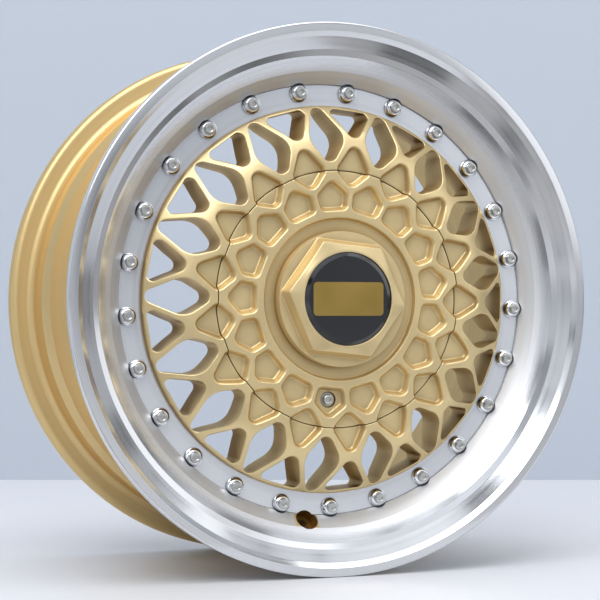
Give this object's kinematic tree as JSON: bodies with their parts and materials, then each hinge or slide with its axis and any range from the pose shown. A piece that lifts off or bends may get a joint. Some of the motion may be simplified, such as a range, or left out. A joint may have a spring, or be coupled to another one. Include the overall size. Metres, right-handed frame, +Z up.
{
  "type": "racing wheel rim",
  "caption": "Split-rim forged racing wheel: mesh centre bolted between an outer lip and an inner barrel, with a waffle cover over the wheel nuts and a hexagonal screw-in centre cap.",
  "frame": {"origin": "centre of the hub bore at the hub mounting face", "axes": "+Y along the wheel axis towards the vehicle, -Y towards the street side, +Z up, +X to the right seen from the street side"},
  "size_m": [0.415, 0.2183, 0.415],
  "materials": {
    "gold_paint": "forged aluminium under satin metallic gold lacquer",
    "machined_lip": "turned and polished",
    "gold_barrel": "forged aluminium under satin metallic gold lacquer",
    "bolt_steel": "zinc plated",
    "collar_chrome": "polished",
    "emblem_black": "gloss",
    "emblem_gold": "satin",
    "insert_steel": "plain",
    "seal_rubber": "matte",
    "slip_washer": "natural nylon"
  },
  "bodies": {
    "wheel": {"wheel_centre": "gold_paint", "outer_rim_half": "machined_lip", "inner_rim_half": "gold_barrel", "rim_seal": "seal_rubber", "assembly_bolts": "bolt_steel", "bolt_collars": "collar_chrome", "nut_washers": "bolt_steel", "assembly_nuts": "bolt_steel", "lug_seat_inserts": "insert_steel", "cover_dowels": "insert_steel", "lock_screw_insert": "insert_steel", "cap_thread_insert": "insert_steel"},
    "cover": {"waffle_cover": "gold_paint"},
    "cap_washer": {"hex_cap_washer": "slip_washer"},
    "hex_cap": {"hex_cap": "gold_paint", "emblem_disc": "emblem_black", "emblem_bar": "emblem_gold", "emblem_spring_ring": "insert_steel"},
    "lock_washer": {"lock_screw_washer": "bolt_steel"},
    "lock_screw": {"lock_screw": "bolt_steel"}
  },
  "joints": [
    {"name": "cover_lift", "type": "slide", "parent": "wheel", "child": "cover", "axis": [0, -1, 0], "range_m": [0, 0.045]},
    {"name": "hex_cap_rise", "type": "slide", "parent": "cover", "child": "cap_washer", "axis": [0, -1, 0], "range_m": [0, 0.0121]},
    {"name": "hex_cap_turn", "type": "hinge", "parent": "cap_washer", "child": "hex_cap", "pos_m": [0, 0, 0], "axis": [0, -1, 0], "range_deg": [0, 2160]},
    {"name": "lock_screw_rise", "type": "slide", "parent": "cover", "child": "lock_washer", "axis": [0, -1, 0], "range_m": [0, 0.0104]},
    {"name": "lock_screw_turn", "type": "hinge", "parent": "lock_washer", "child": "lock_screw", "pos_m": [-0.00809, 0, -0.07507], "axis": [0, -1, 0], "range_deg": [0, 4680]}
  ],
  "couplings": [
    {"joint": "hex_cap_rise", "follows": "hex_cap_turn", "m_per_rad": 0.00031831},
    {"joint": "lock_screw_turn", "follows": "lock_screw_rise", "rad_per_m": 7854}
  ]
}
